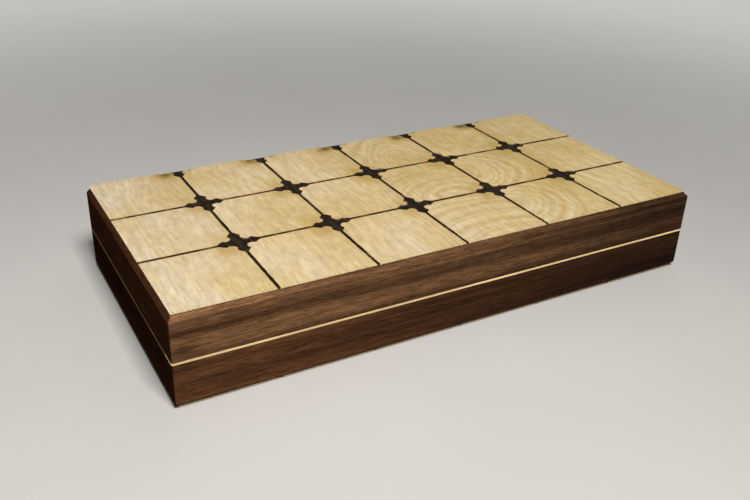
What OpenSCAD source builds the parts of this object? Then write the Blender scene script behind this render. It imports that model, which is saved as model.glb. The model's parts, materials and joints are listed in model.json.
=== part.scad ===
// Wooden puzzle box: two shallow walnut trays hinged along the back. Their outer faces carry a
// board of pale veneer squares with cross-shaped openings, six by six when the box is unfolded.
// A pale strip along the lid's front rim is the hidden key: it slides to shift its magnets.
// Units are millimetres. +X is the long side, -Y the front, +Z up, and z = 0 the resting face.

/* [Board] */
// Pitch of the veneer squares
pitch = 50; // [42:0.5:60]
// Width of the gap between two squares
tile_gap = 1.3; // [0.8:0.1:1.8]
// Thickness of the pale veneer squares
tile_t = 0.6; // [0.5:0.1:1.5]
// Thickness of the black veneer under the squares
backing_t = 0.5; // [0.4:0.1:1.5]
// Distance of each rounded lobe's centre from the two gap centre lines
lobe_offset = 5.3; // [4.6:0.1:6.4]
// Radius of the rounded lobes that stand into each cross
lobe_r = 2.9; // [2.2:0.1:3.4]
// Length of each arm of a cross, from its centre to its tip
arm_reach = 10.75; // [9.5:0.25:14]

/* [Case] */
// Thickness of the walnut walls
wall_t = 9.5; // [8.5:0.5:13]
// Height of the walnut walls of one half
wall_h = 22.3; // [17:0.1:40]
// Distance that the case stands outside the board's outer line
case_overhang = 0.9; // [0.3:0.1:1.2]
// Width of the chamfer along the outer edges
chamfer = 2; // [1.5:0.1:3]
// Radius of the two rounded corners at the back
back_corner_r = 5.5; // [4:0.5:7]
// Thickness of the plywood panels
panel_t = 4; // [3:0.5:6]
// Width of the ledge that carries each panel
panel_lap = 5; // [3:0.5:6]

/* [Rim band and key strip] */
// Height of the seam between the two halves, which the pale band fills
seam_h = 1.2; // [1:0.1:2]
// Clearance above and below the key strip, and under the fixed band
slide_clear = 0.1; // [0.05:0.05:0.2]
// Travel of the key strip
key_travel = 8; // [5:0.5:12]
// Width of the tongue on the key strip
tongue_w = 5; // [4.2:0.1:5.4]
// Height of the tongue on the key strip
tongue_h = 5; // [4.8:0.1:7]
// Distance from each end of the strip to the end of its tongue
tongue_inset = 20; // [18:1:35]
// Radius of the brass pins that hold the key strip
key_pin_r = 1; // [0.8:0.05:1.2]
// Distance between neighbouring key pins
key_pin_pitch = 85; // [50:1:95]
// Radius of the magnets
magnet_r = 1.5; // [1:0.25:2]
// Height of the magnets
magnet_h = 4; // [2:0.5:4.5]
// Distance of the locking magnets from the middle of the strip
magnet_x = 112; // [100:1:120]

/* [Hinges] */
// Gap between the two backs when the box is unfolded
fold_gap = 1.3; // [0.8:0.1:1.8]
// Length of one hinge
hinge_len = 30; // [24:1:40]
// Distance of each hinge from the middle of the back
hinge_x = 95; // [60:1:115]
// Width of a hinge leaf
leaf_w = 8; // [7:0.5:8.5]
// Thickness of a hinge leaf
leaf_t = 1; // [0.8:0.05:1]
// Outer radius of the hinge knuckles
knuckle_r = 1.7; // [1.5:0.05:2]
// Radius of the hinge pins
hinge_pin_r = 0.8; // [0.6:0.05:0.9]
// Radius of the countersunk screw heads
screw_head_r = 1.8; // [1.5:0.1:2]
// Radius of the screw shanks
screw_r = 0.9; // [0.7:0.05:1]
// Length of the hinge screws
screw_len = 8; // [6:0.5:10]
// Distance between neighbouring hinge screws
screw_pitch = 10; // [7:0.5:11]

/* [Hidden] */
$fn = 64;
columns = 6;
rows = 3;
knuckles = 5;
cut = 1;                 // how far a cutting shape runs past the face that it cuts
groove_clear = 0.3;      // spare height above the tongue
knuckle_gap = 0.1;       // axial gap between two knuckles
barrel_clear = 0.15;     // room around the barrel
pin_clear = 0.05;        // radial clearance of the running fits
pin_head_r = 1.2;
pin_head_t = 0.5;
screw_slot_w = 0.45;
screw_slot_d = 0.4;
screw_setback = 0.425;   // how far the screws stand inside the leaf's middle line
key_pin_wall = 1.8;      // walnut left outside a key pin

skin_t = tile_t + backing_t;
half_h = skin_t + wall_h;
total_h = 2 * half_h + seam_h;
box_l = columns * pitch + 2 * case_overhang;
box_d = rows * pitch + 2 * case_overhang;
total_d = box_d + fold_gap / 2 + knuckle_r;
half_l = box_l / 2;
front_y = -total_d / 2;
back_y = front_y + box_d;
board_y = front_y + case_overhang;
axis_z = total_h / 2;
lid_rim_z = half_h + seam_h;
panel_edge = wall_t - panel_lap;
band_z = half_h + slide_clear;
band_t = seam_h - slide_clear;
strip_t = seam_h - 2 * slide_clear;
rim_mid_y = front_y + wall_t / 2;
tongue_l = box_l - 2 * tongue_inset;
groove_w = tongue_w + 2 * slide_clear;
key_pin_z = lid_rim_z + tongue_h / 2;
key_pin_len = wall_t - key_pin_wall;
knuckle_l = hinge_len / knuckles;
barrel_r = knuckle_r + barrel_clear;
hinge_room = hinge_len + 2 * (pin_head_t + knuckle_gap);
screw_y = back_y - leaf_w / 2 - screw_setback;
notch = lobe_r / sqrt(2);

SIDES = ["front", "back", "left", "right"];

function tile_name(half, c, r) = str(half, "_tile_c", c, "_r", r);

// The lid's own pieces are drawn as the base's are, then turned over onto the seam.
module on_lid() translate([0, 0, total_h]) mirror([0, 0, 1]) children();

module on_half(half) {
    if (half == "lid") on_lid() children();
    else children();
}

// Plan of the case, inset on every side: the two corners at the back are rounded
module case_plan(inset) {
    square_d = box_d - back_corner_r - inset;
    round_x = half_l - back_corner_r;
    round_r = back_corner_r - inset;
    translate([inset - half_l, front_y + inset]) square([box_l - 2 * inset, square_d]);
    translate([-round_x, front_y + inset]) square([2 * round_x, box_d - 2 * inset]);
    for (x = [-round_x, round_x]) translate([x, back_y - back_corner_r]) circle(round_r);
}

// ---- Board ----

// One arm corner of a cross, from its centre: the straight-sided point less the round lobe
module cross_quarter() {
    difference() {
        polygon([[0, 0], [arm_reach, 0], [arm_reach, tile_gap / 2],
                 [lobe_offset + notch, lobe_offset - notch],
                 [lobe_offset - notch, lobe_offset + notch],
                 [tile_gap / 2, arm_reach], [0, arm_reach]]);
        translate([lobe_offset, lobe_offset]) circle(lobe_r);
    }
}

module cross() for (sx = [-1, 1], sy = [-1, 1]) scale([sx, sy]) cross_quarter();

// Outline of a square in column c and row r: the border squares are trimmed to the chamfer
module tile_outline(c, r) difference() {
    intersection() {
        translate([(c - 1 - columns / 2) * pitch + tile_gap / 2, board_y + (r - 1) * pitch + tile_gap / 2])
            square(pitch - tile_gap);
        case_plan(chamfer);
    }
    for (i = [c - 1, c], j = [r - 1, r])
        if (i > 0 && i < columns && j > 0)
            translate([(i - columns / 2) * pitch, board_y + j * pitch]) cross();
}

module tile(half, c, r)
    color("wheat") on_half(half) linear_extrude(tile_t) tile_outline(c, r);

module backing(half) color("#1c1917") on_half(half)
    translate([0, 0, tile_t]) linear_extrude(backing_t) case_plan(chamfer);

// ---- Case ----

module panel(half) color("tan") on_half(half)
    translate([panel_edge - half_l, front_y + panel_edge, skin_t])
        cube([box_l - 2 * panel_edge, box_d - 2 * panel_edge, panel_t]);

// Plan of one wall, mitred at both ends
module wall_plan(side) {
    x0 = -half_l;
    x1 = half_l;
    y0 = front_y;
    y1 = back_y;
    t = wall_t;
    if (side == "front") polygon([[x0, y0], [x1, y0], [x1 - t, y0 + t], [x0 + t, y0 + t]]);
    if (side == "back") polygon([[x0, y1], [x0 + t, y1 - t], [x1 - t, y1 - t], [x1, y1]]);
    if (side == "left") polygon([[x0, y0], [x0 + t, y0 + t], [x0 + t, y1 - t], [x0, y1]]);
    if (side == "right") polygon([[x1, y0], [x1, y1], [x1 - t, y1 - t], [x1 - t, y0 + t]]);
}

// Cross-section of what the chamfer takes away, the edge on the origin and the wall in the +X, +Y quadrant
module chamfer_profile() polygon([[-cut, -cut], [chamfer + cut, -cut], [-cut, chamfer + cut]]);

module chamfer_bar(length) rotate([90, 0, 90]) linear_extrude(length) chamfer_profile();

module edge_chamfers() translate([0, 0, skin_t]) {
    translate([-half_l - cut, front_y, 0]) chamfer_bar(box_l + 2 * cut);
    translate([half_l + cut, back_y, 0]) rotate(180) chamfer_bar(box_l + 2 * cut);
    translate([-half_l, back_y + cut, 0]) rotate(-90) chamfer_bar(box_d + 2 * cut);
    translate([half_l, front_y - cut, 0]) rotate(90) chamfer_bar(box_d + 2 * cut);
    for (side = [-1, 1])
        translate([side * (half_l - back_corner_r), back_y - back_corner_r, 0])
            rotate(side > 0 ? 0 : 90)
                rotate_extrude(angle = 90) translate([back_corner_r, 0]) mirror([1, 0]) chamfer_profile();
}

module wall_blank(side) difference() {
    translate([0, 0, skin_t]) linear_extrude(wall_h) intersection() {
        wall_plan(side);
        case_plan(0);
    }
    translate([panel_edge - half_l, front_y + panel_edge, skin_t - cut])
        cube([box_l - 2 * panel_edge, box_d - 2 * panel_edge, panel_t + cut]);
    edge_chamfers();
}

module wall(half, side) color("#5b3a25") difference() {
    on_half(half) wall_blank(side);
    if (side == "back") hinge_mortises(half);
    if (half == "lid" && side == "front") {
        tongue_groove();
        key_pin_set();
    }
    if (half == "base" && side == "front") base_magnet_set(magnet_h + cut);
}

// ---- Key strip ----

// Every place of the key pins along the strip
module at_key_pins() for (i = [-1:1]) translate([i * key_pin_pitch, 0, 0]) children();

module tongue_groove()
    translate([-tongue_l / 2 - slide_clear, rim_mid_y - groove_w / 2, lid_rim_z - cut])
        cube([tongue_l + key_travel + 2 * slide_clear, groove_w, tongue_h + groove_clear + cut]);

module key_pin_set() at_key_pins()
    translate([0, front_y + wall_t, key_pin_z]) rotate([90, 0, 0])
        cylinder(h = key_pin_len, r = key_pin_r);

// Slot in the tongue: the strip moves to +X, so the slot runs the travel towards -X
module key_slot() translate([0, rim_mid_y + tongue_w, key_pin_z]) rotate([90, 0, 0])
    linear_extrude(2 * tongue_w) {
        slot_r = key_pin_r + pin_clear;
        circle(slot_r);
        translate([-key_travel, 0]) circle(slot_r);
        translate([-key_travel, -slot_r]) square([key_travel, 2 * slot_r]);
    }

module strip_magnet_set(h) for (side = [-1, 1])
    translate([side * magnet_x, rim_mid_y, band_z]) cylinder(h = h, r = magnet_r);

module key_strip() color("#e0c68a") difference() {
    union() {
        translate([-half_l, front_y, band_z]) cube([box_l, wall_t, strip_t]);
        translate([-tongue_l / 2, rim_mid_y - tongue_w / 2, band_z])
            cube([tongue_l, tongue_w, strip_t + tongue_h]);
    }
    at_key_pins() key_slot();
    translate([0, 0, -cut]) strip_magnet_set(magnet_h + cut);
}

module key_strip_magnets() color("silver") strip_magnet_set(magnet_h);

module key_pins() color("goldenrod") key_pin_set();

// Pairs in the base's front rim: one holds the strip at rest, one pushes it off when it has slid
module base_magnet_set(h) for (side = [-1, 1], step = [0, key_travel])
    translate([side * magnet_x + step, rim_mid_y, half_h - magnet_h]) cylinder(h = h, r = magnet_r);

module base_magnets() color("silver") base_magnet_set(magnet_h);

// ---- Fixed rim band ----

module rim_band_plan() translate([0, 0, band_z]) linear_extrude(band_t) intersection() {
    children();
    case_plan(0);
}

module rim_band_side(x) color("#e0c68a")
    rim_band_plan() translate([x, front_y + wall_t]) square([wall_t, box_d - wall_t]);

module rim_band_left() rim_band_side(-half_l);

module rim_band_right() rim_band_side(half_l - wall_t);

// The back band runs between the side bands and is cut away at the hinges
module rim_band_back() color("#e0c68a") rim_band_plan() difference() {
    translate([wall_t - half_l, back_y - wall_t]) square([box_l - 2 * wall_t, wall_t]);
    at_hinges() translate([-hinge_room / 2, -wall_t - cut]) square([hinge_room, wall_t + 2 * cut]);
}

// ---- Hinges ----

module at_hinges() for (side = [-1, 1]) translate([side * hinge_x, back_y, 0]) children();

// A bar along X about the hinge axis, from x0, in a hinge's own place
module axis_bar(x0, length, r)
    translate([x0, fold_gap / 2, axis_z]) rotate([0, 90, 0]) cylinder(h = length, r = r);

// Height of a leaf's underside: the base's leaf is let into the rim, the lid's lies on the rim
function leaf_z(half) = (half == "lid") ? lid_rim_z - leaf_t : half_h - leaf_t;

module hinge_mortises(half) {
    at_hinges() {
        axis_bar(-hinge_len / 2 - knuckle_gap, hinge_len + 2 * knuckle_gap, barrel_r);
        axis_bar(-hinge_room / 2, hinge_room, pin_head_r + barrel_clear);
        if (half == "base") translate([-hinge_len / 2, -leaf_w, half_h - leaf_t])
            cube([hinge_len, leaf_w + cut, leaf_t + cut]);
    }
    hinge_screw_set(half, false);
}

// The base's leaf carries the odd knuckles, the lid's leaf the even ones
function owns_knuckle(half, k) = (k % 2 == 0) == (half == "base");

module hinge_leaves(half) color("#b08d3e") difference() {
    at_hinges() difference() {
        union() {
            translate([-hinge_len / 2, -leaf_w, leaf_z(half)])
                cube([hinge_len, leaf_w + fold_gap / 2, leaf_t]);
            for (k = [0:knuckles - 1]) if (owns_knuckle(half, k))
                axis_bar(k * knuckle_l - hinge_len / 2 + knuckle_gap / 2,
                         knuckle_l - knuckle_gap, knuckle_r);
        }
        // room for the other leaf's knuckles
        for (k = [0:knuckles - 1]) if (!owns_knuckle(half, k))
            axis_bar(k * knuckle_l - hinge_len / 2 - knuckle_gap / 2, knuckle_l + knuckle_gap, barrel_r);
        axis_bar(-hinge_len, 2 * hinge_len, hinge_pin_r + (half == "lid" ? pin_clear : 0));
    }
    hinge_screw_set(half, false);
}

module hinge_pins() color("#c9a54c") at_hinges() {
    axis_bar(-hinge_len / 2, hinge_len, hinge_pin_r);
    for (x0 = [-hinge_len / 2 - pin_head_t, hinge_len / 2]) axis_bar(x0, pin_head_t, pin_head_r);
}

// A countersunk screw, its head flush with z = 0 and its shank pointing down
module screw(slotted) difference() {
    union() {
        translate([0, 0, -leaf_t]) cylinder(h = leaf_t, r1 = screw_r, r2 = screw_head_r);
        translate([0, 0, -screw_len]) cylinder(h = screw_len - leaf_t, r = screw_r);
    }
    if (slotted) translate([-screw_head_r - cut, -screw_slot_w / 2, -screw_slot_d])
        cube([2 * (screw_head_r + cut), screw_slot_w, screw_slot_d + cut]);
}

module hinge_screw_set(half, slotted) for (side = [-1, 1], i = [-1:1])
    translate([side * hinge_x + i * screw_pitch, screw_y,
               half == "lid" ? leaf_z("lid") : half_h])
        rotate([half == "lid" ? 180 : 0, 0, 0]) screw(slotted);

module hinge_screws(half) color("#d2b465") hinge_screw_set(half, true);

// ---- Nodes ----

for (half = ["lid", "base"]) {
    for (c = [1:columns], r = [1:rows])
        tile(half, c, r);
    for (side = SIDES)
        wall(half, side);
    panel(half);
    backing(half);
    hinge_leaves(half);
    hinge_screws(half);
}
rim_band_left();
rim_band_right();
rim_band_back();
key_strip();
key_strip_magnets();
key_pins();
base_magnets();
hinge_pins();
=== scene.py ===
import json
import math

import bpy
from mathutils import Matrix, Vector

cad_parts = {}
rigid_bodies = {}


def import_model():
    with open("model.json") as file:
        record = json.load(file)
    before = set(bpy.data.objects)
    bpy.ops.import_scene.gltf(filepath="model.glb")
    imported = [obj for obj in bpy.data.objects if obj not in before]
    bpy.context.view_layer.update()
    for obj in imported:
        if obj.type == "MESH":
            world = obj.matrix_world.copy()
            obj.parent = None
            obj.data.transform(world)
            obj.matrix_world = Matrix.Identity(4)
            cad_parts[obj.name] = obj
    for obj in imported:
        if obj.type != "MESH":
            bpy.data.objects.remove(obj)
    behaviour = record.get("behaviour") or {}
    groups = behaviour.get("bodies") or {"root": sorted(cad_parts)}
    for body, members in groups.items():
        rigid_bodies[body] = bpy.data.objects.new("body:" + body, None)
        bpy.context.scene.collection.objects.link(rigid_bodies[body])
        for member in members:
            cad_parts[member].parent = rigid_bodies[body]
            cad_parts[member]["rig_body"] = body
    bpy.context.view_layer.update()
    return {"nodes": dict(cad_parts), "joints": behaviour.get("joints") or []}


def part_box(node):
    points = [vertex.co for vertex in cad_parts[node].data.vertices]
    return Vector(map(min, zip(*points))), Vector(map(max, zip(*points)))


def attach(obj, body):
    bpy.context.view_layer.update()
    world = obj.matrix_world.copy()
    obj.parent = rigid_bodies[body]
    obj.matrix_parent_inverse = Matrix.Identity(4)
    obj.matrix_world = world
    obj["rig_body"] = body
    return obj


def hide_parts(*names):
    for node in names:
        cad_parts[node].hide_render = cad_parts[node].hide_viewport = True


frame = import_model()

# ---- Camera ----
# Stands off the front left corner of the box, a little above it, and looks down along the
# pale board. A normal lens, rolled by less than two degrees.
camera_data = bpy.data.cameras.new("camera")
camera_data.lens = 40.99
camera_data.sensor_width = 36
camera_data.clip_start = 0.01
camera = bpy.data.objects.new("camera", camera_data)
camera.location = (-0.2257, -0.3758, 0.2373)
camera.rotation_euler = (math.radians(62.39), math.radians(-1.72), math.radians(-29.07))
bpy.context.scene.collection.objects.link(camera)
bpy.context.scene.camera = camera

# ---- Floor and lights ----
# A pale painted table top, which glows faintly away from the box and so stays pale where the
# lamps don't reach. A soft lamp hangs in front of the box and a wide weak one behind it, and the
# plain room looks brighter than the light that it gives.
MM = 0.001
FLOOR_SIZE = 8
FLOOR_GAP = 0.1 * MM
TABLE_GREY = (0.58, 0.575, 0.565, 1)
TABLE_PALE = (0.64, 0.635, 0.625, 1)
GLOW_START = 0.2
GLOW_END = 0.95
GLOW_STRENGTH = 0.42
ROOM_LIGHT = 0.07
ROOM_SEEN = 0.5


def add_node(material, kind, inputs, **settings):
    """A shader node with its settings, each input either a value or another node's output."""
    node = material.node_tree.nodes.new(kind)
    for name, value in settings.items():
        setattr(node, name, value)
    for key, value in inputs.items():
        if isinstance(value, bpy.types.NodeSocket):
            material.node_tree.links.new(value, node.inputs[key])
        else:
            node.inputs[key].default_value = value
    return node


def math_of(material, operation, a, b=0.0):
    return add_node(material, "ShaderNodeMath", {0: a, 1: b}, operation=operation).outputs[0]


def product(material, a, b):
    return math_of(material, "MULTIPLY", a, b)


def total(material, a, b):
    return math_of(material, "ADD", a, b)


def difference(material, a, b):
    return math_of(material, "SUBTRACT", a, b)


def size_of(material, value):
    return math_of(material, "ABSOLUTE", value)


def bell(material, off_a, off_b, steepness):
    """1 where both offsets are 0, falling smoothly to 0 all round."""
    squares = total(material, product(material, off_a, off_a), product(material, off_b, off_b))
    return math_of(material, "EXPONENT", product(material, squares, -steepness))


def speckle(material, place, stretch, detail=2.0, distortion=0.0, shift=(0, 0, 0)):
    """Noise from 0 to 1 with so many cells to the metre along x, y and z."""
    scaled = add_node(
        material, "ShaderNodeMapping", {"Vector": place, "Location": shift, "Scale": stretch}
    )
    return add_node(
        material,
        "ShaderNodeTexNoise",
        {"Vector": scaled.outputs[0], "Scale": 1.0, "Detail": detail, "Distortion": distortion},
    ).outputs[0]


def ramp(material, value, low, high, low_out=0.0, high_out=1.0, shape="SMOOTHSTEP"):
    """A step from low_out to high_out as the value goes from low to high."""
    return add_node(
        material,
        "ShaderNodeMapRange",
        {"Value": value, "From Min": low, "From Max": high, "To Min": low_out, "To Max": high_out},
        interpolation_type=shape,
    ).outputs[0]


def blend_colours(material, factor, under, over, how="MIX"):
    return add_node(
        material,
        "ShaderNodeMix",
        {0: factor, 6: under, 7: over},
        data_type="RGBA",
        blend_type=how,
    ).outputs[2]


def shade(material, colour, light):
    """A colour made lighter or darker by a factor, or tinted by another colour."""
    return blend_colours(material, 1.0, colour, light, "MULTIPLY")


def new_material(name, base, roughness, **sockets):
    """A material whose shader has these values, with its shader and its object coordinates."""
    material = bpy.data.materials.new(name)
    material.use_nodes = True
    shader = material.node_tree.nodes["Principled BSDF"]
    shader.inputs["Base Color"].default_value = (*base, 1)
    shader.inputs["Roughness"].default_value = roughness
    for socket, value in sockets.items():
        shader.inputs[socket.replace("_", " ")].default_value = value
    place = add_node(material, "ShaderNodeTexCoord", {}).outputs["Object"]
    return material, shader, place


def set_colour(material, shader, colour):
    material.node_tree.links.new(colour, shader.inputs["Base Color"])


def set_roughness(material, shader, value):
    material.node_tree.links.new(value, shader.inputs["Roughness"])


def set_bump(material, shader, height, depth, strength=1.0):
    bump = add_node(
        material, "ShaderNodeBump", {"Height": height, "Distance": depth, "Strength": strength}
    )
    material.node_tree.links.new(bump.outputs[0], shader.inputs["Normal"])


table_paint, table_shader, table_place = new_material("table_paint", (0.61, 0.605, 0.595), 0.8)
table_mottle = speckle(table_paint, table_place, (9, 9, 9), detail=4)
table_colour = blend_colours(table_paint, table_mottle, TABLE_GREY, TABLE_PALE)
set_colour(table_paint, table_shader, table_colour)
table_shader.inputs["Emission Color"].default_value = (1, 0.985, 0.96, 1)
from_box = add_node(
    table_paint, "ShaderNodeVectorMath", {0: table_place}, operation="LENGTH"
).outputs["Value"]
far_glow = ramp(table_paint, from_box, GLOW_START, GLOW_END, 0.0, GLOW_STRENGTH)
table_paint.node_tree.links.new(far_glow, table_shader.inputs["Emission Strength"])
bpy.ops.object.select_all(action="DESELECT")
bpy.ops.mesh.primitive_plane_add(size=FLOOR_SIZE, location=(0, 0, -FLOOR_GAP))
floor = bpy.context.active_object
floor.name = "floor"
bpy.ops.object.transform_apply(location=True, rotation=True, scale=True)
floor.data.materials.append(table_paint)


def softbox(name, place, aim, size, spread, power, colour):
    lamp_data = bpy.data.lights.new(name, "AREA")
    lamp_data.shape = "SQUARE"
    lamp_data.size = size
    lamp_data.spread = math.radians(spread)
    lamp_data.energy = power
    lamp_data.color = colour
    lamp = bpy.data.objects.new(name, lamp_data)
    lamp.location = place
    lamp.rotation_euler = (Vector(aim) - Vector(place)).to_track_quat("-Z", "Y").to_euler()
    bpy.context.scene.collection.objects.link(lamp)


softbox(
    "key_light",
    place=(-0.14, -0.55, 0.85),
    aim=(-0.12, 0, 0.03),
    size=0.3,
    spread=115,
    power=4.4,
    colour=(1, 0.965, 0.91),
)
softbox(
    "fill_light",
    place=(0.9, 0.5, 1.3),
    aim=(0, 0, 0),
    size=1.2,
    spread=160,
    power=1.5,
    colour=(0.95, 0.97, 1),
)

world = bpy.data.worlds.new("room")
world.use_nodes = True
backdrop = world.node_tree.nodes["Background"]
backdrop.inputs["Color"].default_value = (1, 0.98, 0.95, 1)
seen_straight = add_node(world, "ShaderNodeLightPath", {}).outputs["Is Camera Ray"]
room_strength = ramp(world, seen_straight, 0, 1, ROOM_LIGHT, ROOM_SEEN)
world.node_tree.links.new(room_strength, backdrop.inputs["Strength"])
bpy.context.scene.world = world
bpy.context.scene.view_settings.view_transform = "Standard"

# ---- Walnut walls ----
# Each half of the box is a frame of four solid walnut boards, mitred and glued, with a chamfer
# round the face that carries the squares and a rabbet behind it for the panel. The two back
# corners are rounded right through both halves, and the front ones only softened.
HALVES = ("base", "lid")
BACK_CORNER_R = 5.5 * MM
BACK_CORNER_STEPS = 10
FRONT_CORNER_R = 1.0 * MM
FRONT_CORNER_STEPS = 4
WALNUT_EASE = 0.18 * MM
PANEL_CLEAR = 0.02 * MM
SAME_LEVEL = 0.01 * MM
SAME_PLANE = math.radians(0.5)

left_wall_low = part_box("base_left_wall")[0]
front_wall_low, front_wall_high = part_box("base_front_wall")
case_low = Vector((left_wall_low.x, front_wall_low.y, left_wall_low.z))
case_high = Vector(
    (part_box("base_right_wall")[1].x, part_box("base_back_wall")[1].y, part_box("lid_left_wall")[1].z)
)
wall_thickness = front_wall_high.y - case_low.y
chamfer_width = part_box("base_backing")[0].x - case_low.x


def use_only(*pieces):
    """Selects these pieces alone, the first one active."""
    bpy.ops.object.select_all(action="DESELECT")
    for piece in pieces:
        piece.select_set(True)
    bpy.context.view_layer.objects.active = pieces[0]


def block(name, low, high):
    """A rectangular piece of stock between two corners."""
    bpy.ops.object.select_all(action="DESELECT")
    bpy.ops.mesh.primitive_cube_add(size=1, location=(Vector(low) + Vector(high)) / 2)
    piece = bpy.context.active_object
    piece.name = name
    piece.scale = Vector(high) - Vector(low)
    bpy.ops.object.transform_apply(location=True, rotation=True, scale=True)
    return piece


def rod(name, radius, start, end, sides=48):
    """A round piece of stock from start to end."""
    start, end = Vector(start), Vector(end)
    bpy.ops.object.select_all(action="DESELECT")
    bpy.ops.mesh.primitive_cylinder_add(
        vertices=sides,
        radius=radius,
        depth=(end - start).length,
        location=(start + end) / 2,
        rotation=(end - start).to_track_quat("Z", "Y").to_euler(),
    )
    piece = bpy.context.active_object
    piece.name = name
    bpy.ops.object.transform_apply(location=True, rotation=True, scale=True)
    return piece


def round_over(piece, is_wanted, width, segments):
    """Bevels the edges whose middle and direction are wanted."""
    use_only(piece)
    bpy.context.tool_settings.mesh_select_mode = (False, True, False)
    bpy.ops.object.mode_set(mode="EDIT")
    bpy.ops.mesh.select_all(action="DESELECT")
    bpy.ops.object.mode_set(mode="OBJECT")
    for edge in piece.data.edges:
        a, b = (piece.data.vertices[i].co for i in edge.vertices)
        edge.select = is_wanted((a + b) / 2, (b - a).normalized())
    bpy.ops.object.mode_set(mode="EDIT")
    bpy.ops.mesh.bevel(offset=width, segments=segments, profile=0.5, affect="EDGES")
    bpy.ops.object.mode_set(mode="OBJECT")


def carve(piece, cutters, operation="DIFFERENCE"):
    """Cuts the cutters out of a piece, or keeps what they share with it."""
    for cutter in cutters:
        use_only(piece)
        cut = piece.modifiers.new("cut", "BOOLEAN")
        cut.operation = operation
        cut.solver = "EXACT"
        cut.object = cutter
        bpy.ops.object.modifier_apply(modifier="cut")
        bpy.data.objects.remove(cutter)


def saw(piece, point, away):
    """Saws a piece along the plane through a point, and drops the side that away points to."""
    use_only(piece)
    bpy.ops.object.mode_set(mode="EDIT")
    bpy.ops.mesh.select_all(action="SELECT")
    bpy.ops.mesh.bisect(plane_co=point, plane_no=away, use_fill=True, clear_outer=True)
    bpy.ops.mesh.select_all(action="SELECT")
    bpy.ops.mesh.dissolve_limited(angle_limit=SAME_PLANE)
    bpy.ops.mesh.select_all(action="SELECT")
    bpy.ops.mesh.normals_make_consistent(inside=False)
    bpy.ops.object.mode_set(mode="OBJECT")


def copy_of(piece, name):
    use_only(piece)
    bpy.ops.object.duplicate()
    twin = bpy.context.active_object
    twin.name = name
    return twin


def ease(piece, width, segments=2, angle=25):
    """Breaks the sharp edges of a finished piece."""
    use_only(piece)
    eased = piece.modifiers.new("eased", "BEVEL")
    eased.width = width
    eased.segments = segments
    eased.limit_method = "ANGLE"
    eased.angle_limit = math.radians(angle)
    bpy.ops.object.modifier_apply(modifier="eased")


def polish(piece, angle=30):
    """Smooth shading over the curves, and flat faces that stay flat."""
    use_only(piece)
    bpy.ops.object.shade_smooth_by_angle(angle=math.radians(angle))
    weighted = piece.modifiers.new("weighted", "WEIGHTED_NORMAL")
    weighted.keep_sharp = True
    bpy.ops.object.modifier_apply(modifier="weighted")


def fit(piece, node, material):
    """Puts the finish on a piece, which stands for a CAD node and rides on that node's body."""
    piece.data.materials.clear()
    piece.data.materials.append(material)
    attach(piece, frame["nodes"][node]["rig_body"])
    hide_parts(node)


def is_upright(direction):
    return abs(direction.z) > 0.99


def case_block(name, low_z, high_z):
    """The full plan of the case between two heights, its back corners rounded."""
    piece = block(name, (case_low.x, case_low.y, low_z), (case_high.x, case_high.y, high_z))
    round_over(
        piece,
        lambda middle, way: is_upright(way) and middle.y > 0,
        BACK_CORNER_R,
        BACK_CORNER_STEPS,
    )
    return piece


def is_front_corner(middle):
    corner_room = 1.5 * chamfer_width
    near_side = min(middle.x - case_low.x, case_high.x - middle.x) < corner_room
    return near_side and middle.y - case_low.y < corner_room


WALNUT_LINE_AND_SHADE = (0.02, 0.009, 0.004, 1)
WALNUT_PORE = (0.014, 0.008, 0.006, 1)
PORE_DEPTH = 0.55
BAND_SHARE = 0.6


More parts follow.
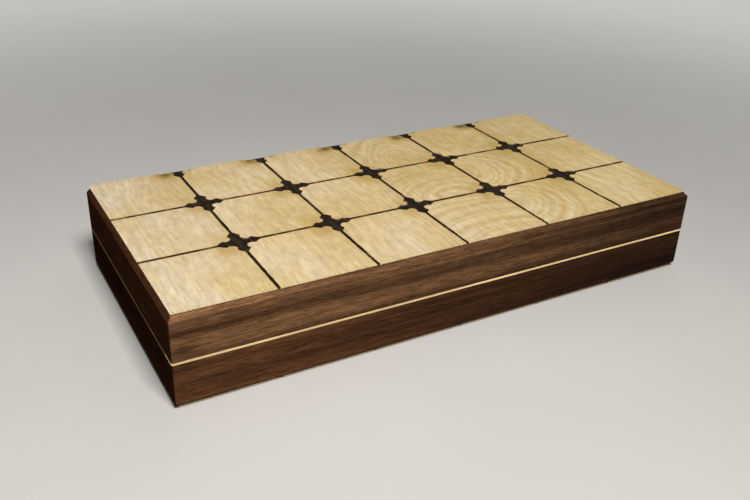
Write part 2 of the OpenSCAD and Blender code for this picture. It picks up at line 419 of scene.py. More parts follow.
def walnut(name, along, dark, pale, gloss, painted_shade_to_right, shift, lines=()):
    """Oiled walnut with its grain along one axis: streaks, fine fibre, open pores, dark lines.

    The wood is darkened towards the right with painted shade, where the lamp's light falls off,
    from a place given as a share of the half length, to a share of its colour, and is a little
    lighter before that place. The chamfer carries a painted highlight, brightest at its left end.
    A dark line is given by its middle along X and Z, half length, half width and depth; those
    near the left end are painted shade."""
    material, shader, place = new_material(name, pale, 0.55, Specular_IOR_Level=gloss)

    def grain(lengthwise, across):
        return (lengthwise, across, across) if along == "X" else (across, lengthwise, across)

    wander = speckle(material, place, grain(5, 22), detail=2, shift=shift)
    furthest = (4 * MM, 4 * MM, 7 * MM)
    swerve = add_node(
        material, "ShaderNodeVectorMath", {0: furthest, 1: wander}, operation="MULTIPLY"
    ).outputs[0]
    wavy = add_node(
        material, "ShaderNodeVectorMath", {0: place, 1: swerve}, operation="ADD"
    ).outputs[0]
    bands = speckle(material, wavy, grain(2.5, 95), detail=3, distortion=0.25, shift=shift)
    streaks = speckle(material, wavy, grain(9, 520), detail=4, shift=shift)
    mottle = speckle(material, wavy, grain(38, 160), detail=3, shift=shift)
    ticks = speckle(material, wavy, grain(90, 1500), detail=3, shift=shift)
    fibre = speckle(material, place, grain(220, 2600), detail=2, shift=shift)
    pores = speckle(material, place, grain(210, 2500), detail=1, shift=shift)
    broad = product(material, ramp(material, bands, 0.3, 0.6), BAND_SHARE)
    narrow = product(material, ramp(material, streaks, 0.28, 0.72), 1 - BAND_SHARE)
    tone = total(material, broad, narrow)
    colour = blend_colours(material, tone, (*dark, 1), (*pale, 1))
    for grain_noise, swing in ((mottle, 0.12), (ticks, 0.24), (fibre, 0.24)):
        light = ramp(material, grain_noise, 0.32, 0.68, 1 - swing, 1 + swing)
        colour = shade(material, colour, light)
    end, _, height = add_node(material, "ShaderNodeSeparateXYZ", {0: place}).outputs
    start, least = painted_shade_to_right
    # painted shade: darker towards the right end, where the lamp's light falls off, a little lighter
    # at the left
    painted_falloff_shade = ramp(material, end, start * case_high.x, case_high.x, 1.1, least)
    colour = shade(material, colour, painted_falloff_shade)
    # painted highlight on the chamfer, brightest at its left end, where the lamp catches it
    chamfer_painted_highlight = ramp(material, end, -0.9 * case_high.x, -0.3 * case_high.x, 1.6, 1.0)
    chamfer_foot = case_high.z - chamfer_width
    foot_blur = 0.2 * MM
    planed = ramp(material, height, chamfer_foot - foot_blur, chamfer_foot + foot_blur)
    colour = blend_colours(material, planed, colour, shade(material, colour, chamfer_painted_highlight))
    for middle, level, half_length, half_width, depth in lines:
        off_x = math_of(material, "DIVIDE", difference(material, end, middle), half_length)
        off_z = math_of(material, "DIVIDE", difference(material, height, level), half_width)
        line_and_shade_tint = product(material, bell(material, off_x, off_z, 1.0), depth)
        colour = blend_colours(material, line_and_shade_tint, colour, WALNUT_LINE_AND_SHADE)
    pore_mask = ramp(material, pores, 0.6, 0.7)
    pore_tint = product(material, pore_mask, PORE_DEPTH)
    colour = blend_colours(material, pore_tint, colour, WALNUT_PORE)
    set_colour(material, shader, colour)
    set_roughness(material, shader, ramp(material, fibre, 0.3, 0.7, 0.45, 0.6))
    set_bump(material, shader, difference(material, fibre, pore_mask), 0.05 * MM, 0.5)
    return material


# dark lines in the walnut; the entries at x = -0.146, by the left end, are painted shade
LID_LINES_AND_END_SHADE = (
    (0.130, 0.0437, 0.040, 0.8 * MM, 0.7),
    (0.100, 0.0352, 0.070, 2.0 * MM, 0.45),
    (0.020, 0.0402, 0.060, 0.9 * MM, 0.5),
    (-0.020, 0.0365, 0.060, 2.6 * MM, 0.4),
    (-0.105, 0.0385, 0.060, 2.2 * MM, 0.35),
    (-0.146, 0.0292, 0.008, 3.5 * MM, 0.6),
)
BASE_LINES_AND_END_SHADE = (
    (-0.131, 0.0125, 0.012, 0.9 * MM, 0.7),
    (-0.146, 0.0235, 0.012, 3.0 * MM, 0.5),
    (0.050, 0.0205, 0.060, 0.8 * MM, 0.6),
)
WALNUTS = {
    "lid_long": walnut(
        "walnut_lid_long",
        "X",
        dark=(0.038, 0.016, 0.0076),
        pale=(0.168, 0.085, 0.039),
        gloss=0.02,
        painted_shade_to_right=(-0.2, 0.4),
        shift=(0, 0, 0),
        lines=LID_LINES_AND_END_SHADE,
    ),
    "base_long": walnut(
        "walnut_base_long",
        "X",
        dark=(0.03, 0.012, 0.006),
        pale=(0.125, 0.053, 0.022),
        gloss=0.02,
        painted_shade_to_right=(-1.0, 0.3),
        shift=(3.3, 1.7, 0.4),
        lines=BASE_LINES_AND_END_SHADE,
    ),
    # the side boards are the same walnut made far darker, as painted shade on the ends of the box
    "lid_side": walnut(
        "walnut_lid_side",
        "Y",
        dark=(0.0125, 0.0047, 0.0024),
        pale=(0.039, 0.0156, 0.007),
        gloss=0.0,
        painted_shade_to_right=(-1.0, 1.0),
        shift=(1.9, 0.6, 2.2),
    ),
    "base_side": walnut(
        "walnut_base_side",
        "Y",
        dark=(0.009, 0.0035, 0.0018),
        pale=(0.028, 0.0105, 0.0049),
        gloss=0.0,
        painted_shade_to_right=(-1.0, 1.0),
        shift=(0.7, 2.6, 1.1),
    ),
}

inner_low = Vector((case_low.x + wall_thickness, case_low.y + wall_thickness, 0))
inner_high = Vector((case_high.x - wall_thickness, case_high.y - wall_thickness, 0))
front_left, front_right = inner_low, Vector((inner_high.x, inner_low.y, 0))
back_left, back_right = Vector((inner_low.x, inner_high.y, 0)), inner_high
# the cuts that free each board from the frame: a point of the plane, and the side sawn away
SAW_CUTS = {
    "front": (((0, 0, 0), (0, 1, 0)), (front_left, (-1, 1, 0)), (front_right, (1, 1, 0))),
    "back": (((0, 0, 0), (0, -1, 0)), (back_left, (-1, -1, 0)), (back_right, (1, -1, 0))),
    "left": (((0, 0, 0), (1, 0, 0)), (front_left, (1, -1, 0)), (back_left, (1, 1, 0))),
    "right": (((0, 0, 0), (-1, 0, 0)), (front_right, (-1, -1, 0)), (back_right, (-1, 1, 0))),
}

key_joint = next(joint for joint in frame["joints"] if joint["name"] == "key_slide")
key_travel = key_joint["range_m"][1]
rim_middle_y = case_low.y + wall_thickness / 2
TONGUE_INSET = 20 * MM
TONGUE_WIDTH = 5 * MM
GROOVE_CLEAR = 0.1 * MM
GROOVE_HEADROOM = 0.3 * MM


def tongue_groove():
    """The groove in the lid's front rim, as long as the strip's tongue and its travel."""
    start = case_low.x + TONGUE_INSET - GROOVE_CLEAR
    end = case_high.x - TONGUE_INSET + GROOVE_CLEAR + key_travel
    half_width = TONGUE_WIDTH / 2 + GROOVE_CLEAR
    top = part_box("key_strip")[1].z + GROOVE_HEADROOM
    return block(
        "groove",
        (start, rim_middle_y - half_width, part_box("lid_front_wall")[0].z - MM),
        (end, rim_middle_y + half_width, top),
    )


key_pin_low, key_pin_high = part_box("key_pins")
key_pin_r = (key_pin_high.z - key_pin_low.z) / 2


def key_pin_rods(overlong=0.0):
    """Three pins driven in from the inner face of the lid's front wall."""
    height = (key_pin_low.z + key_pin_high.z) / 2
    head, tip = key_pin_high.y + overlong, key_pin_low.y
    return [
        rod("key_pin", key_pin_r, (x, head, height), (x, tip, height))
        for x in (key_pin_low.x + key_pin_r, 0, key_pin_high.x - key_pin_r)
    ]


magnet_low, magnet_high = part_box("base_magnets")
magnet_r = (magnet_high.y - magnet_low.y) / 2


def magnet_rods(places, foot, top):
    """Rod magnets that stand in the middle of the rim, one at each place along it."""
    return [rod("magnet", magnet_r, (x, rim_middle_y, foot), (x, rim_middle_y, top)) for x in places]


def base_magnet_rods(overlong=0.0):
    """Two pairs of magnets in the base's front rim: one pair to hold, one to push off."""
    outer = magnet_high.x - magnet_r
    inner = magnet_low.x + magnet_r
    places = (inner, inner + key_travel, outer - key_travel, outer)
    return magnet_rods(places, magnet_low.z, magnet_high.z + overlong)


lid_joint = next(joint for joint in frame["joints"] if joint["name"] == "lid_hinge")
axis_y, axis_z = lid_joint["pos_m"][1:]
HINGE_LENGTH = 30 * MM
LEAF_THICKNESS = 1 * MM
KNUCKLE_ROOM_R = 1.85 * MM
KNUCKLE_ROOM = 0.1 * MM
PIN_HEAD_ROOM_R = 1.35 * MM
PIN_HEAD_ROOM = 0.6 * MM
SCREW_R = 0.9 * MM
SCREW_SIDES = 24
SCREW_PITCH = 10 * MM
leaf_low, leaf_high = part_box("base_hinge_leaves")
hinge_x = leaf_high.x - HINGE_LENGTH / 2
screw_y = (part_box("base_hinge_screws")[0].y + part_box("base_hinge_screws")[1].y) / 2


def hinge_cuts(half):
    """Room for the hinge barrels, the base's leaves and the screws in a back wall."""
    cuts = []
    wall_low, wall_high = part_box(f"{half}_back_wall")
    screw_low, screw_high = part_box(f"{half}_hinge_screws")
    if half == "base":
        tip, mouth = screw_low.z, wall_high.z + MM
    else:
        tip, mouth = screw_high.z, wall_low.z - MM
    for middle in (-hinge_x, hinge_x):
        start, end = middle - HINGE_LENGTH / 2, middle + HINGE_LENGTH / 2
        for radius, room in ((KNUCKLE_ROOM_R, KNUCKLE_ROOM), (PIN_HEAD_ROOM_R, PIN_HEAD_ROOM)):
            left, right = (start - room, axis_y, axis_z), (end + room, axis_y, axis_z)
            cuts.append(rod("barrel_room", radius, left, right))
        if half == "base":
            low = (start, leaf_low.y, wall_high.z - LEAF_THICKNESS)
            cuts.append(block("leaf_mortise", low, (end, case_high.y + MM, wall_high.z + MM)))
        for x in (middle - SCREW_PITCH, middle, middle + SCREW_PITCH):
            hole = rod("screw_hole", SCREW_R, (x, screw_y, tip), (x, screw_y, mouth), SCREW_SIDES)
            cuts.append(hole)
    return cuts


for half in HALVES:
    low_z, high_z = (corner.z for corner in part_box(f"{half}_left_wall"))
    outer_z = low_z if half == "base" else high_z
    tray = case_block(f"{half}_tray", low_z, high_z)
    round_over(tray, lambda middle, way: abs(middle.z - outer_z) < SAME_LEVEL, chamfer_width, 1)
    round_over(
        tray,
        lambda middle, way: is_front_corner(middle) and abs(way.z) > 0.4,
        FRONT_CORNER_R,
        FRONT_CORNER_STEPS,
    )
    cavity = block(
        "cavity", (inner_low.x, inner_low.y, low_z - MM), (inner_high.x, inner_high.y, high_z + MM)
    )
    panel_low, panel_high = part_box(f"{half}_panel")
    reach = Vector((PANEL_CLEAR, PANEL_CLEAR, 0))
    beyond = Vector((0, 0, MM))
    if half == "base":
        rabbet = block("rabbet", panel_low - reach - beyond, panel_high + reach)
    else:
        rabbet = block("rabbet", panel_low - reach, panel_high + reach + beyond)
    carve(tray, [cavity, rabbet])
    for side in ("front", "back", "left", "right"):
        board = copy_of(tray, f"walnut_{half}_{side}")
        for point, away in SAW_CUTS[side]:
            saw(board, point, away)
        ease(board, WALNUT_EASE)
        if side == "back":
            carve(board, hinge_cuts(half))
        elif side == "front" and half == "lid":
            carve(board, [tongue_groove()] + key_pin_rods(overlong=MM))
        elif side == "front":
            carve(board, base_magnet_rods(overlong=MM))
        polish(board)
        length = "long" if side in ("front", "back") else "side"
        fit(board, f"{half}_{side}_wall", WALNUTS[f"{half}_{length}"])
    bpy.data.objects.remove(tray)

# ---- Plywood panels ----
# A birch plywood panel sits in the rabbet of each half and carries the veneers. Its inner face
# is the bare floor of the tray, with quiet grain along the box and a few darker growth lines.
BIRCH_PALE = (0.66, 0.51, 0.32, 1)
BIRCH_DARK = (0.55, 0.39, 0.22, 1)
plywood, plywood_shader, plywood_place = new_material("birch_plywood", (0.6, 0.45, 0.27), 0.55)
ply_waves = speckle(plywood, plywood_place, (4, 34, 34), detail=3, distortion=0.6)
ply_fibre = speckle(plywood, plywood_place, (45, 1100, 1100), detail=2)
ply_colour = blend_colours(plywood, ramp(plywood, ply_waves, 0.35, 0.7), BIRCH_PALE, BIRCH_DARK)
ply_light = ramp(plywood, ply_fibre, 0.3, 0.7, 0.88, 1.08)
set_colour(plywood, plywood_shader, shade(plywood, ply_colour, ply_light))
set_bump(plywood, plywood_shader, ply_fibre, 0.04 * MM, 0.4)
for half in HALVES:
    frame["nodes"][f"{half}_panel"].material_slots[0].material = plywood

# ---- Black veneer ----
# A sheet of veneer, stained black on its face and glued over each panel. It shows as the floor
# of the crosses and gaps, dull, with pale dust in its grain. Its planed edges are bare brown wood.
PLANED_START = 0.12 * MM
PLANED_END = 0.04 * MM
STAIN_DEEP = (0.012, 0.0085, 0.0055, 1)
STAIN_THIN = (0.034, 0.024, 0.015, 1)
VENEER_DUST = (0.07, 0.055, 0.04, 1)
VENEER_EDGE = (0.1, 0.05, 0.024, 1)
black, black_shader, black_place = new_material(
    "black_veneer", (0.02, 0.016, 0.013), 0.8, Specular_IOR_Level=0.1
)
black_fibre = speckle(black, black_place, (900, 60, 900), detail=2)
dust = speckle(black, black_place, (260, 260, 260), detail=4)
black_colour = blend_colours(black, ramp(black, black_fibre, 0.35, 0.7), STAIN_DEEP, STAIN_THIN)
dust_amount = ramp(black, dust, 0.52, 0.75, 0.0, 0.4)
black_colour = blend_colours(black, dust_amount, black_colour, VENEER_DUST)
field_low, field_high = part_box("lid_backing")
black_axes = add_node(black, "ShaderNodeSeparateXYZ", {0: black_place}).outputs
past_side = difference(black, size_of(black, black_axes[0]), field_high.x)
past_front = difference(black, field_low.y, black_axes[1])
past_back = difference(black, black_axes[1], field_high.y)
past_edge = math_of(black, "MAXIMUM", past_side, math_of(black, "MAXIMUM", past_front, past_back))
planed = ramp(black, past_edge, -PLANED_START, -PLANED_END)
edge_fibre = speckle(black, black_place, (150, 150, 2500), detail=3)
edge_colour = shade(black, VENEER_EDGE, ramp(black, edge_fibre, 0.3, 0.7, 0.7, 1.3))
set_colour(black, black_shader, blend_colours(black, planed, black_colour, edge_colour))
set_bump(black, black_shader, black_fibre, 0.05 * MM, 0.5)
for half in HALVES:
    frame["nodes"][f"{half}_backing"].material_slots[0].material = black

# ---- Pale veneer squares ----
# Thirty-six squares cut with heat from two sheets of pale figured veneer and glued side by side
# with a narrow gap. The cut leaves their edges burnt and smoke stains beside the crosses, while
# the edges along the chamfer were planed clean.
TILE_EASE = 0.08 * MM
CHAR_WIDTH = 0.5 * MM
COLUMNS, ROWS = 6, 3
field_corner_r = BACK_CORNER_R - chamfer_width
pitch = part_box("lid_tile_c3_r2")[0].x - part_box("lid_tile_c2_r2")[0].x
board_left = -COLUMNS / 2 * pitch
board_front = (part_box("lid_tile_c2_r1")[1].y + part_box("lid_tile_c2_r2")[0].y) / 2 - pitch
# swirls in the figure of single squares: column and row, then the middle, half width and half
# height in that square as parts of the pitch, and how many rings it has
SWIRLS = (
    (4, 1, 0.50, -0.10, 0.80, 0.52, 7),
    (4, 2, 0.60, 0.08, 0.42, 0.40, 8),
    (4, 3, 0.55, 0.00, 0.18, 0.50, 7),
    (5, 1, -0.05, 0.55, 0.50, 0.40, 9),
    (5, 2, -0.05, 0.50, 0.50, 0.42, 10),
    (1, 3, 0.55, 0.40, 0.26, 0.40, 3),
    (2, 3, 0.35, 0.55, 0.30, 0.45, 3),
)
RINGS_TO_A_SQUARE = 13
RINGS_CLIMBED = 2.5
# in squares: where the figured columns begin and end, how far the rings drift, how far a smoke
# stain lies from its cross, and how far the smoke and the scorch in it spread
FIGURED_FROM, FIGURED_TO = 3.0, 5.0
RING_DRIFT = 0.3
STAIN_ASIDE, STAIN_ALONG = 0.13, 0.1
SMOKE_SPREAD, SCORCH_SPREAD = 0.26, 0.15
STRAW_DARK = (0.645, 0.48, 0.22, 1)
STRAW_PALE = (0.775, 0.63, 0.375, 1)
STRAW_SHEEN_AND_BLOTCH = (0.75, 0.645, 0.475, 1)
STRAW_RING = (0.56, 0.39, 0.165, 1)
STRAW_FLECK = (0.45, 0.3, 0.12, 1)
STRAW_GOLDEN = (1.0, 0.985, 0.86, 1)
SMOKE_STAIN = (0.5, 0.33, 0.08, 1)
SCORCH = (0.13, 0.075, 0.025, 1)
YELLOWED = (0.55, 0.395, 0.14, 1)
BROWNED_CUT = (0.2, 0.11, 0.04, 1)
TOASTED_RIM = (0.33, 0.18, 0.055, 1)
BURNT_RIM = (0.035, 0.02, 0.011, 1)


def pale_veneer(name, shift):
    """Straw-coloured veneer: growth rings, fibre, flecks, pale blotches, a painted sheen and burnt
    cuts.

    Its pattern is laid out in squares: u counts them from the left end, v from the front."""
    material, shader, place = new_material(name, (0.7, 0.54, 0.29), 0.5, Specular_IOR_Level=0.2)
    axes = add_node(material, "ShaderNodeSeparateXYZ", {0: place}).outputs
    u = math_of(material, "DIVIDE", difference(material, axes[0], board_left), pitch)
    v = math_of(material, "DIVIDE", difference(material, axes[1], board_front), pitch)

    # growth rings: they follow one another along the board but not in the two figured columns,
    # they climb towards the back in the fourth, and they bend round the swirls
    noise_u = speckle(material, place, (30, 24, 0), 3, shift=shift)
    noise_v = speckle(material, place, (24, 30, 0), 3, shift=(9, 4, 0))
    drift_u = product(material, difference(material, noise_u, 0.5), RING_DRIFT)
    drift_v = product(material, difference(material, noise_v, 0.5), RING_DRIFT)
    loose_u, loose_v = total(material, u, drift_u), total(material, v, drift_v)
    figured_width = FIGURED_TO - FIGURED_FROM
    halted = ramp(material, loose_u, FIGURED_FROM, FIGURED_TO, 0.0, figured_width, "LINEAR")
    ring = product(material, difference(material, loose_u, halted), RINGS_TO_A_SQUARE)
    column, row = math_of(material, "FLOOR", u), math_of(material, "FLOOR", v)
    in_fourth = math_of(material, "COMPARE", column, 3.0)
    climb = product(material, loose_v, product(material, in_fourth, RINGS_CLIMBED))
    ring = difference(material, ring, climb)
    for its_column, its_row, middle_u, middle_v, half_width, half_height, its_rings in SWIRLS:
        off_u = difference(material, loose_u, its_column - 1 + middle_u)
        off_v = difference(material, loose_v, its_row - 1 + middle_v)
        off_u = math_of(material, "DIVIDE", off_u, half_width)
        off_v = math_of(material, "DIVIDE", off_v, half_height)
        swell = product(material, bell(material, off_u, off_v, 0.5), its_rings)
        in_column = math_of(material, "COMPARE", column, its_column - 1.0)
        in_row = math_of(material, "COMPARE", row, its_row - 1.0)
        own = product(material, in_column, in_row)
        ring = total(material, ring, product(material, swell, own))
    ring_line = add_node(material, "ShaderNodeCombineXYZ", {0: ring}).outputs[0]
    rings = speckle(material, ring_line, (1.1, 0, 0), detail=1.5, shift=shift)
    figure_middle = (FIGURED_FROM + FIGURED_TO) / 2
    from_figure = size_of(material, difference(material, u, figure_middle))
    figured = ramp(material, from_figure, 0.7, 1.6, 0.9, 0.38)
    ring_depth = product(material, ramp(material, rings, 0.36, 0.64), figured)

    # the straw colour with its fibre and flecks, pale blotches, and a painted sheen at the left and
    # the front
    fibre = speckle(material, place, (900, 75, 0), detail=3, distortion=0.6, shift=shift)
    flecks = speckle(material, place, (1300, 260, 0), detail=1, shift=shift)
    mottle = speckle(material, place, (260, 150, 0), detail=4, distortion=0.5, shift=shift)
    clouds = speckle(material, place, (24, 15, 0), detail=2, shift=shift)
    colour = blend_colours(material, ramp(material, clouds, 0.3, 0.7), STRAW_DARK, STRAW_PALE)
    # painted sheen: paler towards the left end and the front, where the lamp's light is strongest
    painted_left_sheen = ramp(material, u, 0.1, 1.7, 0.95, 0.12)
    painted_sheen = math_of(material, "MAXIMUM", painted_left_sheen, ramp(material, v, 0.2, 1.3, 0.6, 0.0))
    blotches = speckle(material, place, (75, 60, 0), detail=3, distortion=0.8, shift=shift)
    sheen_and_blotches = product(material, painted_sheen, ramp(material, clouds, 0.38, 0.62, 0.3, 1.0))
    sheen_and_blotches = math_of(material, "MAXIMUM", sheen_and_blotches, ramp(material, blotches, 0.54, 0.72, 0.0, 0.55))
    colour = blend_colours(material, sheen_and_blotches, colour, STRAW_SHEEN_AND_BLOTCH)
    colour = blend_colours(material, product(material, ring_depth, 0.82), colour, STRAW_RING)
    for grain_noise, least, most in ((fibre, 0.88, 1.08), (mottle, 0.9, 1.07)):
        colour = shade(material, colour, ramp(material, grain_noise, 0.28, 0.72, least, most))
    golden = ramp(material, u, 2.5, 5.0)
    colour = blend_colours(material, golden, colour, STRAW_GOLDEN, "MULTIPLY")
    fleck_tint = ramp(material, flecks, 0.62, 0.76, 0.0, 0.3)
    colour = blend_colours(material, fleck_tint, colour, STRAW_FLECK)

    # smoke stains beside every cross, mostly to its left, and stronger along the back edge
    nearest_u, nearest_v = math_of(material, "ROUND", u), math_of(material, "ROUND", v)
    from_line_u = difference(material, u, nearest_u)
    from_line_v = difference(material, v, nearest_v)
    beside_line = size_of(material, from_line_v)
    across = total(material, from_line_u, STAIN_ASIDE)
    along = difference(material, beside_line, STAIN_ALONG)
    offset = add_node(material, "ShaderNodeCombineXYZ", {0: across, 1: along}).outputs[0]
    from_stain = add_node(material, "ShaderNodeVectorMath", {0: offset}, operation="LENGTH")
    ragged = speckle(material, place, (110, 110, 0), detail=3)
    raggedness = product(material, difference(material, ragged, 0.5), 0.2)
    spread = total(material, from_stain.outputs["Value"], raggedness)
    from_middle = size_of(material, difference(material, nearest_u, COLUMNS / 2))
    behind_front = math_of(material, "GREATER_THAN", nearest_v, 0.5)
    inside_ends = math_of(material, "LESS_THAN", from_middle, COLUMNS / 2 - 0.5)
    has_cross = product(material, inside_ends, behind_front)
    rear = math_of(material, "GREATER_THAN", nearest_v, ROWS - 0.5)
    below = math_of(material, "LESS_THAN", from_line_v, 0.0)
    weight = total(material, product(material, rear, 0.3), 0.5)
    weight = total(material, weight, product(material, below, 0.16))
    smoke = ramp(material, spread, 0.0, SMOKE_SPREAD, 1.0, 0.0)
    smoke = product(material, smoke, product(material, has_cross, weight))
    colour = blend_colours(material, smoke, colour, SMOKE_STAIN)
    scorch = product(material, ramp(material, spread, 0.0, SCORCH_SPREAD, 1.0, 0.0), has_cross)
    scorch_weight = total(material, product(material, rear, 0.75), 0.06)
    scorch = product(material, scorch, scorch_weight)
    colour = blend_colours(material, scorch, colour, SCORCH)

    # the veneer is yellower for a few millimetres beside each gap, more so on its left
    left_of_gap = ramp(material, from_line_u, -0.14, -0.01, 0.0, 0.4)
    on_left = math_of(material, "LESS_THAN", from_line_u, 0.0)
    left_of_gap = product(material, left_of_gap, on_left)
    near_gap = ramp(material, beside_line, 0.01, 0.08, 0.22, 0.0)
    yellowed = math_of(material, "MAXIMUM", left_of_gap, near_gap)
    colour = blend_colours(material, yellowed, colour, YELLOWED)

    # the long cuts along the board are browned a little further in than the short ones
    browned = ramp(material, beside_line, 0.015, 0.026, 0.8, 0.0)
    browned = product(material, browned, behind_front)
    colour = blend_colours(material, browned, colour, BROWNED_CUT)

    # burnt edges, from the attribute that grows from 0 to 1 across the rim of a square
    char = add_node(material, "ShaderNodeAttribute", {}, attribute_name="char").outputs["Fac"]
    rim = total(material, char, ramp(material, ragged, 0.3, 0.7, -0.22, 0.22))
    toasted = ramp(material, rim, 0.15, 0.85, 0.0, 0.75)
    colour = blend_colours(material, toasted, colour, TOASTED_RIM)
    burnt = ramp(material, rim, 0.72, 1.05)
    colour = blend_colours(material, burnt, colour, BURNT_RIM)
    set_colour(material, shader, colour)
    set_roughness(material, shader, ramp(material, fibre, 0.3, 0.7, 0.46, 0.58))
    set_bump(material, shader, difference(material, fibre, fleck_tint), 0.04 * MM, 0.5)
    return material


MERGE_DISTANCE = 0.002 * MM


def merged_copy(node, name):
    """A copy of a CAD node as one closed mesh with whole faces."""
    piece = bpy.data.objects.new(name, frame["nodes"][node].data.copy())
    bpy.context.scene.collection.objects.link(piece)
    use_only(piece)
    bpy.ops.object.mode_set(mode="EDIT")
    bpy.ops.mesh.select_all(action="SELECT")
    bpy.ops.mesh.remove_doubles(threshold=MERGE_DISTANCE)
    bpy.ops.mesh.select_all(action="SELECT")
    bpy.ops.mesh.dissolve_limited(angle_limit=SAME_PLANE)
    bpy.ops.object.mode_set(mode="OBJECT")
    return piece


def to_border(point):
    """How far a point stands inside the outline of the whole field of squares."""
    side = field_high.x - abs(point.x)
    back = field_high.y - point.y
    if side < field_corner_r and back < field_corner_r:
        return field_corner_r - math.hypot(field_corner_r - side, field_corner_r - back)
    return min(side, back, point.y - field_low.y)


def burn_edges(tile, facing):
    """Insets the shown face, and marks every edge but the planed ones as burnt."""

    def shown_face():
        return max(tile.data.polygons, key=lambda face: face.normal.z * facing * face.area)

    use_only(tile)
    bpy.context.tool_settings.mesh_select_mode = (False, False, True)
    bpy.ops.object.mode_set(mode="EDIT")
    bpy.ops.mesh.select_all(action="DESELECT")
    bpy.ops.object.mode_set(mode="OBJECT")
    shown_face().select = True
    bpy.ops.object.mode_set(mode="EDIT")
    bpy.ops.mesh.inset(thickness=CHAR_WIDTH, depth=0)
    bpy.ops.object.mode_set(mode="OBJECT")
    clean = set(shown_face().vertices)
    char = tile.data.color_attributes.new("char", "FLOAT_COLOR", "CORNER")
    for face in tile.data.polygons:
        planed = to_border(face.center) < 0.8 * CHAR_WIDTH
        for corner in face.loop_indices:
            burnt = 0.0 if planed or tile.data.loops[corner].vertex_index in clean else 1.0
            char.data[corner].color = (burnt, burnt, burnt, 1)


VENEERS = {
    "lid": pale_veneer("lid_veneer", (0, 0, 0)),
    "base": pale_veneer("base_veneer", (7.1, 3.9, 0)),
}
for half in HALVES:
    facing = 1 if half == "lid" else -1
    for column in range(1, COLUMNS + 1):
        for row in range(1, ROWS + 1):
            node = f"{half}_tile_c{column}_r{row}"
            tile_low, tile_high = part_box(node)
            outer_z = tile_high.z if half == "lid" else tile_low.z
            tile = merged_copy(node, f"{half}_square_c{column}_r{row}")
            round_over(tile, lambda middle, way: abs(middle.z - outer_z) < SAME_LEVEL, TILE_EASE, 1)
            burn_edges(tile, facing)
            polish(tile)
            fit(tile, node, VENEERS[half])

# ---- Rim band ----
# A strip of pale maple glued to the lid's rim along the sides and the back, cut away at the
# hinges. It shows as a thin line where the two halves meet.
BAND_EASE = 0.1 * MM
MAPLE_PALE = (0.78, 0.58, 0.3)
MAPLE_SIDE_SHADE = (0.1, 0.045, 0.02, 1)
SIDE_SHADE_START = 0.4 * MM
SIDE_SHADE_END = 0.1 * MM


def maple(name, along, gloss, side_shade_amount):
    """Pale waxed maple, paler to the right, its outer faces at the ends of the box darkened as painted
    shade.
    """
    material, shader, place = new_material(name, MAPLE_PALE, 0.5, Specular_IOR_Level=gloss)
    stretch = (30, 700, 700) if along == "X" else (700, 30, 700)
    patch = (14, 60, 60) if along == "X" else (60, 14, 60)
    fibre = speckle(material, place, stretch, detail=3)
    patches = speckle(material, place, patch, detail=2)
    colour = shade(material, (*MAPLE_PALE, 1), ramp(material, patches, 0.3, 0.7, 0.9, 1.1))
    colour = shade(material, colour, ramp(material, fibre, 0.3, 0.7, 0.85, 1.1))
    end = add_node(material, "ShaderNodeSeparateXYZ", {0: place}).outputs[0]
    sapwood = ramp(material, end, -0.4 * case_high.x, 0.8 * case_high.x, 1.0, 1.3)
    colour = shade(material, colour, sapwood)
    from_middle = size_of(material, end)
    side_shade_from, side_shade_to = case_high.x - SIDE_SHADE_START, case_high.x - SIDE_SHADE_END
    # painted shade on the outer faces of the side bands, at the unlit ends of the box
    painted_side_shade = ramp(material, from_middle, side_shade_from, side_shade_to, 0.0, side_shade_amount)
    set_colour(material, shader, blend_colours(material, painted_side_shade, colour, MAPLE_SIDE_SHADE))
    set_bump(material, shader, fibre, 0.03 * MM, 0.4)
    return material


MAPLE_LONG = maple("maple_long", "X", gloss=0.1, side_shade_amount=0.0)
MAPLE_SIDE = maple("maple_side", "Y", gloss=0.0, side_shade_amount=0.75)


def rim_plan(low_z, high_z):
    """The rounded plan of the case, as a cutter that trims what lies in the rim."""
    plan = case_block("rim_plan", low_z - MM, high_z + MM)
    round_over(
        plan,
        lambda middle, way: is_front_corner(middle) and is_upright(way),
        FRONT_CORNER_R,
        FRONT_CORNER_STEPS,
    )
    return plan


for side in ("left", "right", "back"):
    node = f"rim_band_{side}"
    band_low, band_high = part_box(node)
    band = block(f"maple_band_{side}", band_low, band_high)
    if side == "back":
        half_break = Vector((HINGE_LENGTH / 2 + PIN_HEAD_ROOM, 0, 0))
        for middle in (-hinge_x, hinge_x):
            low = Vector((middle, band_low.y - MM, band_low.z - MM)) - half_break
            high = Vector((middle, band_high.y + MM, band_high.z + MM)) + half_break
            carve(band, [block("hinge_break", low, high)])
    carve(band, [rim_plan(band_low.z, band_high.z)], "INTERSECT")
    ease(band, BAND_EASE)
    polish(band)
    fit(band, node, MAPLE_LONG if side == "back" else MAPLE_SIDE)

# ---- Key strip ----
# The front stretch of the pale line is a strip of the same maple that is free to slide. A tongue
# along its top runs in the lid's rim, slotted where the three brass pins pass through it.
strip_low, strip_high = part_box("key_strip")
key_strip = merged_copy("key_strip", "maple_key_strip")
carve(key_strip, [rim_plan(strip_low.z, strip_high.z)], "INTERSECT")
ease(key_strip, BAND_EASE, segments=1, angle=60)
polish(key_strip)
fit(key_strip, "key_strip", MAPLE_LONG)

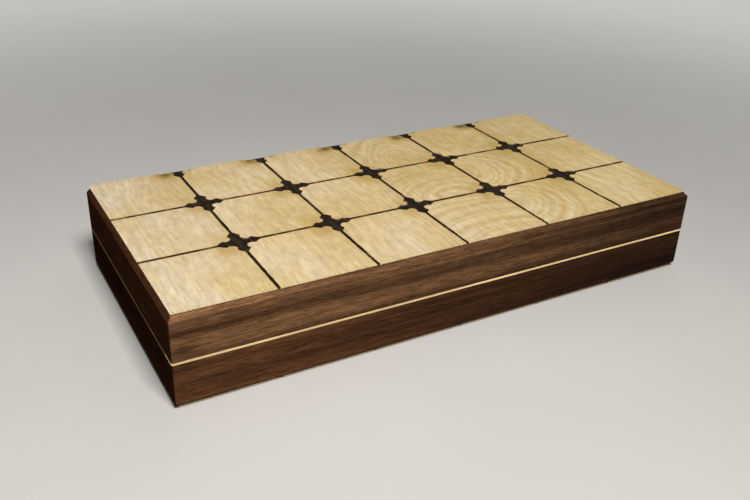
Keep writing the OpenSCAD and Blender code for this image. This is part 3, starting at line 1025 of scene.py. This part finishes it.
# ---- Magnets ----
# Small nickel-plated rod magnets glued in blind holes, flush with the meeting faces of the rim:
# two pairs in the base, and one pair in the key strip, which slides from over the first pair to
# over the second.
MAGNET_EASE = 0.15 * MM
PLATE_BRIGHT = (0.66, 0.65, 0.62, 1)
PLATE_DULL = (0.5, 0.48, 0.44, 1)
plating, plating_shader, plating_place = new_material(
    "nickel_plating", (0.62, 0.61, 0.58), 0.25, Metallic=1.0
)
scuffs = speckle(plating, plating_place, (900, 900, 900), detail=3)
set_roughness(plating, plating_shader, ramp(plating, scuffs, 0.3, 0.75, 0.16, 0.42))
scuffed = ramp(plating, scuffs, 0.45, 0.8)
scuffed_colour = blend_colours(plating, scuffed, PLATE_BRIGHT, PLATE_DULL)
set_colour(plating, plating_shader, scuffed_colour)


def join_rods(rods, name, width):
    """Breaks the ends of the rods and joins them into one piece."""
    for each in rods:
        ease(each, width)
    use_only(*rods)
    bpy.ops.object.join()
    piece = bpy.context.active_object
    piece.name = name
    polish(piece)
    return piece


base_magnets = join_rods(base_magnet_rods(), "base_rod_magnets", MAGNET_EASE)
fit(base_magnets, "base_magnets", plating)
strip_magnet_low, strip_magnet_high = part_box("key_strip_magnets")
strip_magnet_places = (strip_magnet_low.x + magnet_r, strip_magnet_high.x - magnet_r)
strip_rods = magnet_rods(strip_magnet_places, strip_magnet_low.z, strip_magnet_high.z)
strip_magnets = join_rods(strip_rods, "strip_rod_magnets", MAGNET_EASE)
fit(strip_magnets, "key_strip_magnets", plating)

# ---- Key pins ----
# Three brass pins driven through the lid's front rim from the inside. They hold the key strip
# up and stop it at both ends of its slots.
PIN_EASE = 0.2 * MM


def brass(name, base, shine):
    """Brushed brass with a little tarnish in it."""
    material, shader, place = new_material(name, base, shine, Metallic=1.0)
    brushing = speckle(material, place, (90, 1600, 1600), detail=2)
    tarnish = speckle(material, place, (180, 180, 180), detail=4)
    dull = tuple(0.62 * part for part in base)
    colour = blend_colours(material, ramp(material, tarnish, 0.5, 0.8), (*base, 1), (*dull, 1))
    set_colour(material, shader, colour)
    set_roughness(material, shader, ramp(material, brushing, 0.3, 0.7, shine - 0.07, shine + 0.1))
    set_bump(material, shader, brushing, 0.01 * MM, 0.3)
    return material


SCREW_BRASS = brass("screw_brass", (0.78, 0.56, 0.23), 0.26)
key_pins = join_rods(key_pin_rods(), "brass_key_pins", PIN_EASE)
fit(key_pins, "key_pins", SCREW_BRASS)

# ---- Hinges ----
# Two small brass butt hinges. The base's leaves are let into its rim and the lid's lie on its
# rim, in the break of the maple band, and five rolled knuckles turn on each headed pin.
HINGE_EASE = 0.12 * MM
HINGE_BRASS = brass("hinge_brass", (0.72, 0.5, 0.2), 0.32)
for node in ("base_hinge_leaves", "lid_hinge_leaves", "hinge_pins"):
    hinge_parts = merged_copy(node, f"brass_{node}")
    ease(hinge_parts, HINGE_EASE, segments=2, angle=40)
    polish(hinge_parts)
    fit(hinge_parts, node, HINGE_BRASS)

# ---- Screws ----
# Twelve slotted countersunk brass screws, three to a leaf. Their heads lie flush in the hinge
# leaves and their shanks run in holes in the back walls.
SCREW_EASE = 0.05 * MM
for half in HALVES:
    node = f"{half}_hinge_screws"
    screws = merged_copy(node, f"brass_{node}")
    ease(screws, SCREW_EASE, segments=1, angle=50)
    polish(screws)
    fit(screws, node, SCREW_BRASS)
